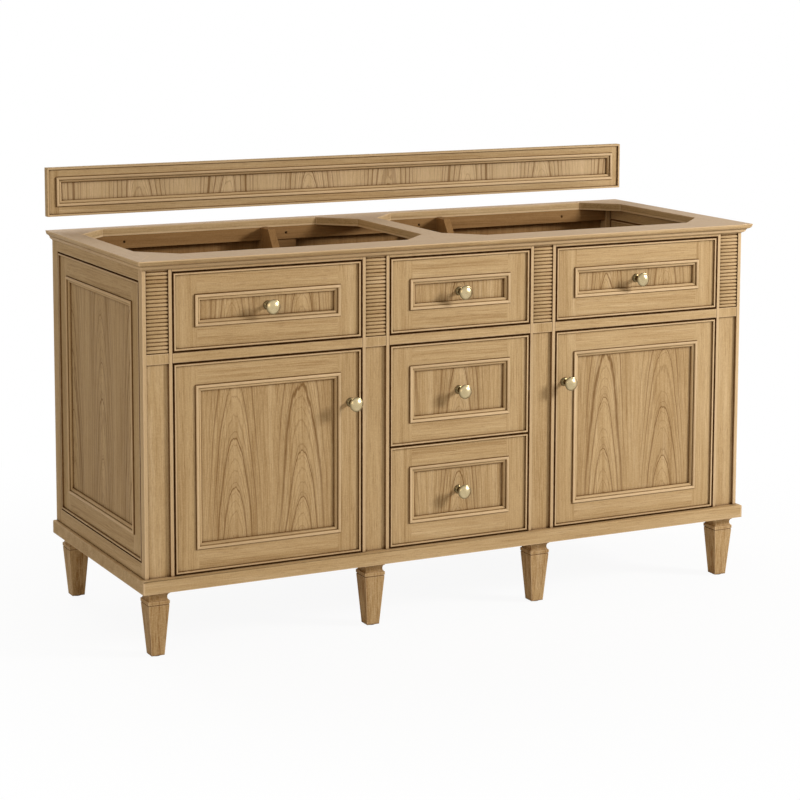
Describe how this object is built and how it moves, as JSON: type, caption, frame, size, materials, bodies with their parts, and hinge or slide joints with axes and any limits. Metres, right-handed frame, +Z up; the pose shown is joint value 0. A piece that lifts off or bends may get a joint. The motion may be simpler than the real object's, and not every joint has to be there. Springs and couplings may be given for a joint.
{
  "type": "bathroom vanity cabinet",
  "caption": "Freestanding double-basin bathroom vanity base in framed oak, with doors, drawers, tip-out fronts, tapered legs and a separate panelled backsplash.",
  "frame": {"origin": "middle of the overall box, on the floor under the glides", "axes": "+X to the right of someone facing the front, +Y towards the wall, +Z up"},
  "size_m": [1.524, 0.609, 0.989],
  "materials": {
    "frame_oak": "satin glazed oak",
    "panel_oak": "satin glazed oak, cathedral grain",
    "inner_wood": "matt plywood",
    "drawer_wood": "clear lacquer",
    "champagne_metal": "satin champagne",
    "zinc_steel": "zinc plated",
    "white_plastic": "moulded",
    "grey_plastic": "moulded"
  },
  "bodies": {
    "cabinet": {"back_frame": "inner_wood", "back_panel": "inner_wood", "backsplash_frame": "frame_oak", "backsplash_panel": "panel_oak", "base_rails": "frame_oak", "bottom_board": "inner_wood", "center_posts": "frame_oak", "corner_posts": "frame_oak", "door_catches": "grey_plastic", "front_legs": "frame_oak", "front_rails": "frame_oak", "leg_glides": "grey_plastic", "partition_left": "inner_wood", "partition_right": "inner_wood", "pivot_pins": "zinc_steel", "plain_blocks": "frame_oak", "rear_legs": "frame_oak", "rear_posts": "frame_oak", "reeded_blocks": "frame_oak", "side_left_frame": "frame_oak", "side_left_panel": "panel_oak", "side_rails": "frame_oak", "side_right_frame": "frame_oak", "side_right_panel": "panel_oak", "slide_channels": "zinc_steel", "slide_spacers": "inner_wood", "top_gussets": "frame_oak", "top_rail_center": "frame_oak", "top_rail_front": "frame_oak", "top_rail_rear": "frame_oak", "top_rails_side": "frame_oak"},
    "door_left": {"door_left_frame": "frame_oak", "door_left_knob": "champagne_metal", "door_left_panel": "panel_oak"},
    "door_right": {"door_right_frame": "frame_oak", "door_right_knob": "champagne_metal", "door_right_panel": "panel_oak"},
    "drawer_bottom": {"drawer_bottom_box": "drawer_wood", "drawer_bottom_frame": "frame_oak", "drawer_bottom_knob": "champagne_metal", "drawer_bottom_panel": "panel_oak", "drawer_bottom_runners": "zinc_steel"},
    "drawer_middle": {"drawer_middle_box": "drawer_wood", "drawer_middle_frame": "frame_oak", "drawer_middle_knob": "champagne_metal", "drawer_middle_panel": "panel_oak", "drawer_middle_runners": "zinc_steel"},
    "drawer_top": {"drawer_top_box": "drawer_wood", "drawer_top_frame": "frame_oak", "drawer_top_knob": "champagne_metal", "drawer_top_panel": "panel_oak", "drawer_top_runners": "zinc_steel"},
    "tip_out_left": {"tip_out_left_frame": "frame_oak", "tip_out_left_knob": "champagne_metal", "tip_out_left_panel": "panel_oak", "tip_out_left_tray": "white_plastic"},
    "tip_out_right": {"tip_out_right_frame": "frame_oak", "tip_out_right_knob": "champagne_metal", "tip_out_right_panel": "panel_oak", "tip_out_right_tray": "white_plastic"}
  },
  "joints": [
    {"name": "door_left_hinge", "type": "hinge", "parent": "cabinet", "child": "door_left", "pos_m": [-0.6675, -0.2635, 0], "axis": [0, 0, -1], "range_deg": [0, 105]},
    {"name": "tip_out_left_hinge", "type": "hinge", "parent": "cabinet", "child": "tip_out_left", "pos_m": [-0.4615, -0.2635, 0.661], "axis": [1, 0, 0], "range_deg": [0, 35]},
    {"name": "door_right_hinge", "type": "hinge", "parent": "cabinet", "child": "door_right", "pos_m": [0.6675, -0.2635, 0], "axis": [0, 0, 1], "range_deg": [0, 105]},
    {"name": "tip_out_right_hinge", "type": "hinge", "parent": "cabinet", "child": "tip_out_right", "pos_m": [0.4615, -0.2635, 0.661], "axis": [1, 0, 0], "range_deg": [0, 35]},
    {"name": "drawer_top_slide", "type": "slide", "parent": "cabinet", "child": "drawer_top", "axis": [0, -1, 0], "range_m": [0, 0.38]},
    {"name": "drawer_middle_slide", "type": "slide", "parent": "cabinet", "child": "drawer_middle", "axis": [0, -1, 0], "range_m": [0, 0.38]},
    {"name": "drawer_bottom_slide", "type": "slide", "parent": "cabinet", "child": "drawer_bottom", "axis": [0, -1, 0], "range_m": [0, 0.38]}
  ]
}
